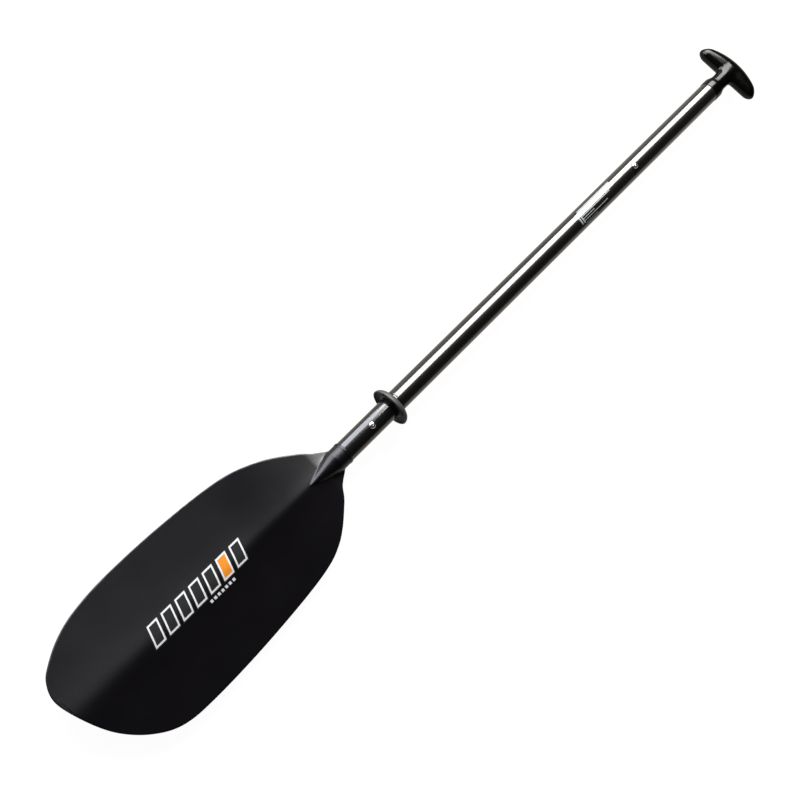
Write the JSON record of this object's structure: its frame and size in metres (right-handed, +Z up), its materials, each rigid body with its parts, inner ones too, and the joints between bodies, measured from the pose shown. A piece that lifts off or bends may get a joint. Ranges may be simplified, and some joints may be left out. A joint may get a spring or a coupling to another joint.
{
  "type": "single-blade kayak paddle",
  "caption": "Take-apart single-blade kayak paddle: asymmetric dihedral blade, round composite shaft with drip ring and snap buttons, and a T-grip.",
  "frame": {"origin": "middle of the base of the bounding box, with the paddle lying power face up", "axes": "+X along the shaft from blade to T-grip, +Y towards the blade's longer corner at the tip, +Z up out of the power face"},
  "size_m": [1.256, 0.1898, 0.054],
  "materials": {
    "blade_nylon": "matte",
    "satin_carbon": "satin",
    "ring_rubber": "matte",
    "gloss_shaft": "gloss",
    "insert_composite": "satin",
    "plug_foam": "matte",
    "button_steel": "polished",
    "spring_steel": "satin",
    "grip_plastic": "gloss"
  },
  "bodies": {
    "shaft": {"main_shaft": "gloss_shaft", "ferrule": "insert_composite", "ferrule_plug": "plug_foam", "lower_button_spring": "spring_steel"},
    "blade_section": {"blade": "blade_nylon", "blade_shaft": "satin_carbon"},
    "ring": {"drip_ring": "ring_rubber"},
    "lower_button": {"lower_button": "button_steel"},
    "grip_section": {"t_grip": "grip_plastic", "grip_tube": "insert_composite", "grip_tube_plug": "plug_foam", "upper_button_spring": "spring_steel"},
    "upper_button": {"upper_button": "button_steel"}
  },
  "joints": [
    {"name": "blade_pull", "type": "slide", "parent": "shaft", "child": "blade_section", "axis": [-1, 0, 0], "range_m": [0, 0.061], "deforming": ["lower_button"]},
    {"name": "grip_pull", "type": "slide", "parent": "shaft", "child": "grip_section", "axis": [1, 0, 0], "range_m": [0, 0.2], "deforming": ["upper_button"]},
    {"name": "ring_slide", "type": "slide", "parent": "blade_section", "child": "ring", "axis": [-1, 0, 0], "range_m": [0, 0.034]},
    {"name": "lower_button_press", "type": "slide", "parent": "shaft", "child": "lower_button", "axis": [0, 0, -1], "range_m": [0, 0.005], "stiffness_N_per_m": 1500, "deforming": ["lower_button_spring"]},
    {"name": "upper_button_press", "type": "slide", "parent": "grip_section", "child": "upper_button", "axis": [0, 0, -1], "range_m": [0, 0.005], "stiffness_N_per_m": 1500, "deforming": ["upper_button_spring"]}
  ]
}
